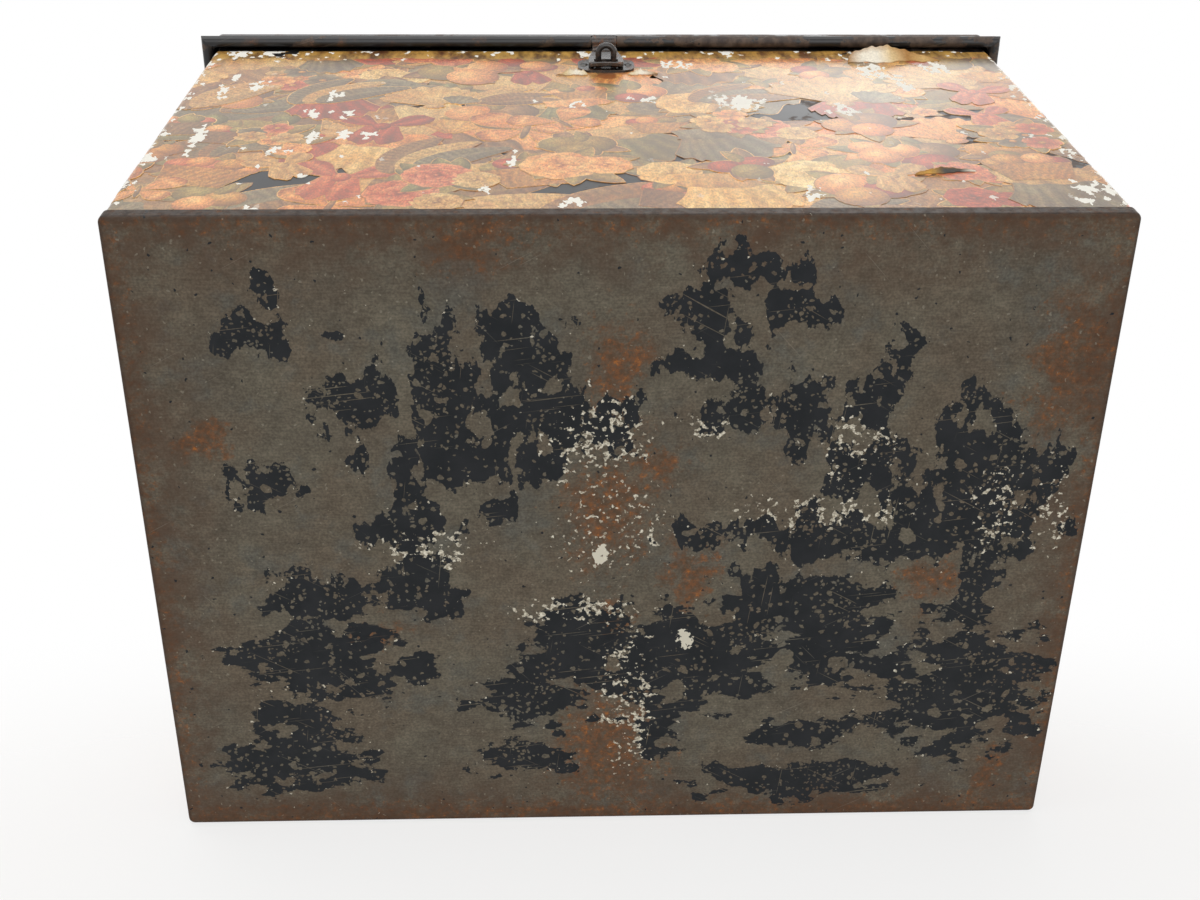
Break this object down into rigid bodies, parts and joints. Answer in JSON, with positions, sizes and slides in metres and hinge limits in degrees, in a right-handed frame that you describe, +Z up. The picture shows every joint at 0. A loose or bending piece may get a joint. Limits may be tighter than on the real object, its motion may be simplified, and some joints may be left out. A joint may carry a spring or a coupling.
{
  "type": "tin deed box",
  "caption": "Japanned tin storage box with a hinged, wired-edge lid, hasp and staple, drop handle and pasted paper scraps on front, sides and lid",
  "frame": {"origin": "on the ground under the middle of the body, on the base pan's lower face", "axes": "+Z up through the lid, -Y out of the front with the hasp, +X to the right seen from the front"},
  "size_m": [0.316, 0.2447, 0.2179],
  "materials": {
    "japanned_tin": "gloss",
    "worn_tin": "satin",
    "iron": "satin",
    "scrap_paper": "gloss"
  },
  "bodies": {
    "box": {"body_wrapper": "japanned_tin", "back_panel": "japanned_tin", "base_pan": "worn_tin", "hinge_strap_left": "iron", "hinge_strap_right": "iron", "hinge_rivets": "iron", "staple": "iron", "staple_plate": "iron", "staple_rivets": "iron", "paper_wrap": "scrap_paper"},
    "lid": {"lid_rim": "japanned_tin", "lid_panel": "japanned_tin", "lid_edge_wire": "iron", "handle_eye_left": "iron", "handle_eye_right": "iron", "handle_backing_left": "worn_tin", "handle_backing_right": "worn_tin", "handle_rivets": "iron", "lid_paper": "scrap_paper"},
    "hasp": {"hasp": "iron"},
    "handle": {"handle_bail": "iron"}
  },
  "joints": [
    {"name": "lid_hinge", "type": "hinge", "parent": "box", "child": "lid", "pos_m": [0, 0.1178, 0.1884], "axis": [-1, 0, 0], "range_deg": [0, 180]},
    {"name": "hasp_hinge", "type": "hinge", "parent": "lid", "child": "hasp", "pos_m": [0, -0.1178, 0.1884], "axis": [-1, 0, 0], "range_deg": [0, 180]},
    {"name": "handle_swing", "type": "hinge", "parent": "lid", "child": "handle", "pos_m": [0, 0, 0.21406], "axis": [-1, 0, 0], "range_deg": [0, 180]}
  ]
}
